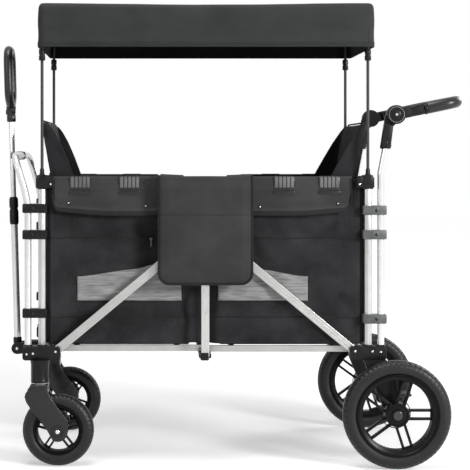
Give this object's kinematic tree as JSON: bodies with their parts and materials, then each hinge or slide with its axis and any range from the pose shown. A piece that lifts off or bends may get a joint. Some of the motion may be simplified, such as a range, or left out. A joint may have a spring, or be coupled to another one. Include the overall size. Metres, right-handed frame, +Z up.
{
  "type": "folding wagon",
  "caption": "Folding push-pull wagon with a fabric tub, seat pads, a canopy on poles, swivelling front casters and large rear wheels.",
  "frame": {"origin": "on the floor under the middle of the wagon's outline", "axes": "+X to the rear (push handle), -X to the front (pull handle), +Y to the wagon's right, +Z up"},
  "size_m": [1.2296, 0.5852, 1.211],
  "materials": {
    "tyre": "matt foam rubber",
    "rim": "moulded plastic with a slight sheen",
    "steel": "plain axle steel",
    "aluminium": "satin silver anodised tube",
    "dark_rod": "dark grey satin coating",
    "canopy_fabric": "plain woven polyester, matt",
    "fabric": "plain woven charcoal polyester, matt",
    "board": "flat board under the seat pads",
    "foam": "matt closed-cell foam",
    "black_plastic": "moulded nylon, fine grain"
  },
  "bodies": {
    "rear_frame": {"rear_cross_tube": "aluminium", "rear_axle": "steel", "basket_rear_panel": "fabric", "rear_seat_back": "fabric", "rear_canopy_bow": "dark_rod", "basket_side_left": "fabric", "basket_side_right": "fabric", "canopy_roof": "canopy_fabric", "side_pocket": "fabric", "rear_post_left": "aluminium", "rear_post_right": "aluminium", "rear_bracket_left": "black_plastic", "rear_bracket_right": "black_plastic", "rear_top_bracket_left": "black_plastic", "rear_top_bracket_right": "black_plastic", "push_leg_left": "aluminium", "push_leg_right": "aluminium", "hinge_base_left": "black_plastic", "hinge_base_right": "black_plastic"},
    "push_handle": {"push_handle_bar": "black_plastic", "push_grip": "foam"},
    "brake": {"brake_pedal": "black_plastic"},
    "rear_wheel_left": {"rear_tyre_left": "tyre", "rear_rim_left": "rim"},
    "rear_wheel_right": {"rear_tyre_right": "tyre", "rear_rim_right": "rim"},
    "rear_diagonals": {"rear_diagonal_left": "aluminium", "rear_diagonal_right": "aluminium"},
    "front_diagonals": {"front_diagonal_left": "aluminium", "front_diagonal_right": "aluminium"},
    "centre_bars": {"centre_bar_left": "aluminium", "centre_bar_right": "aluminium", "centre_beam": "black_plastic"},
    "rear_floor": {"rear_floor_frame": "aluminium", "rear_floor_board": "board", "rear_seat": "fabric"},
    "front_floor": {"front_floor_frame": "aluminium", "front_floor_board": "board", "front_seat": "fabric"},
    "front_frame": {"front_cross_tube": "aluminium", "front_bow": "aluminium", "basket_front_panel": "fabric", "front_seat_back": "fabric", "front_canopy_bow": "dark_rod", "pull_pivot_bracket": "black_plastic", "front_post_left": "aluminium", "front_post_right": "aluminium", "front_bracket_left": "black_plastic", "front_bracket_right": "black_plastic", "front_top_bracket_left": "black_plastic", "front_top_bracket_right": "black_plastic"},
    "caster_left": {"fork_left": "black_plastic"},
    "caster_right": {"fork_right": "black_plastic"},
    "caster_wheel_left": {"front_tyre_left": "tyre", "front_rim_left": "rim"},
    "caster_wheel_right": {"front_tyre_right": "tyre", "front_rim_right": "rim"},
    "pull_handle": {"pull_tube_lower": "aluminium"},
    "pull_slide": {"pull_tube_upper": "dark_rod", "pull_grip": "foam"}
  },
  "joints": [
    {"name": "fold", "type": "hinge", "parent": "rear_frame", "child": "rear_diagonals", "pos_m": [0.3245, 0, 0.297], "axis": [0, 1, 0], "range_deg": [0, 34], "deforming": ["basket_side_left", "basket_side_right", "canopy_roof", "side_pocket"]},
    {"name": "hub_fold", "type": "hinge", "parent": "rear_diagonals", "child": "front_diagonals", "pos_m": [-0.0665, 0, 0.622], "axis": [0, 1, 0], "range_deg": [-68, 0]},
    {"name": "front_frame_fold", "type": "hinge", "parent": "front_diagonals", "child": "front_frame", "pos_m": [-0.4575, 0, 0.297], "axis": [0, 1, 0], "range_deg": [0, 34]},
    {"name": "centre_bar_fold", "type": "hinge", "parent": "rear_diagonals", "child": "centre_bars", "pos_m": [-0.0665, 0, 0.622], "axis": [0, 1, 0], "range_deg": [-34, 0]},
    {"name": "rear_floor_fold", "type": "hinge", "parent": "rear_frame", "child": "rear_floor", "pos_m": [0.3245, 0, 0.3], "axis": [0, 1, 0], "range_deg": [0, 76.5]},
    {"name": "front_floor_fold", "type": "hinge", "parent": "front_frame", "child": "front_floor", "pos_m": [-0.4575, 0, 0.3], "axis": [0, 1, 0], "range_deg": [-76.5, 0]},
    {"name": "push_handle_tilt", "type": "hinge", "parent": "rear_frame", "child": "push_handle", "pos_m": [0.4355, 0, 0.917], "axis": [0, 1, 0], "range_deg": [-60, 70]},
    {"name": "pull_handle_tilt", "type": "hinge", "parent": "front_frame", "child": "pull_handle", "pos_m": [-0.5795, 0, 0.275], "axis": [0, 1, 0], "range_deg": [-100, 0]},
    {"name": "pull_handle_slide", "type": "slide", "parent": "pull_handle", "child": "pull_slide", "axis": [-0.0279, 0, 0.9996], "range_m": [-0.035, 0.2]},
    {"name": "brake_tilt", "type": "hinge", "parent": "rear_frame", "child": "brake", "pos_m": [0.4275, 0, 0.14], "axis": [0, 1, 0], "range_deg": [0, 25]},
    {"name": "rear_wheel_left_spin", "type": "hinge", "parent": "rear_frame", "child": "rear_wheel_left", "pos_m": [0.4275, -0.268, 0.14], "axis": [0, 1, 0], "continuous": true},
    {"name": "caster_left_swivel", "type": "hinge", "parent": "front_frame", "child": "caster_left", "pos_m": [-0.4985, -0.228, 0.215], "axis": [0, 0, 1], "continuous": true},
    {"name": "caster_wheel_left_spin", "type": "hinge", "parent": "caster_left", "child": "caster_wheel_left", "pos_m": [-0.4505, -0.228, 0.093], "axis": [0, 1, 0], "continuous": true},
    {"name": "rear_wheel_right_spin", "type": "hinge", "parent": "rear_frame", "child": "rear_wheel_right", "pos_m": [0.4275, 0.268, 0.14], "axis": [0, 1, 0], "continuous": true},
    {"name": "caster_right_swivel", "type": "hinge", "parent": "front_frame", "child": "caster_right", "pos_m": [-0.4985, 0.228, 0.215], "axis": [0, 0, 1], "continuous": true},
    {"name": "caster_wheel_right_spin", "type": "hinge", "parent": "caster_right", "child": "caster_wheel_right", "pos_m": [-0.4505, 0.228, 0.093], "axis": [0, 1, 0], "continuous": true}
  ],
  "couplings": [
    {"joint": "hub_fold", "follows": "fold", "ratio": -2},
    {"joint": "front_frame_fold", "follows": "fold", "ratio": 1},
    {"joint": "centre_bar_fold", "follows": "fold", "ratio": -1},
    {"joint": "rear_floor_fold", "follows": "fold", "ratio": 2.25},
    {"joint": "front_floor_fold", "follows": "fold", "ratio": -2.25}
  ]
}
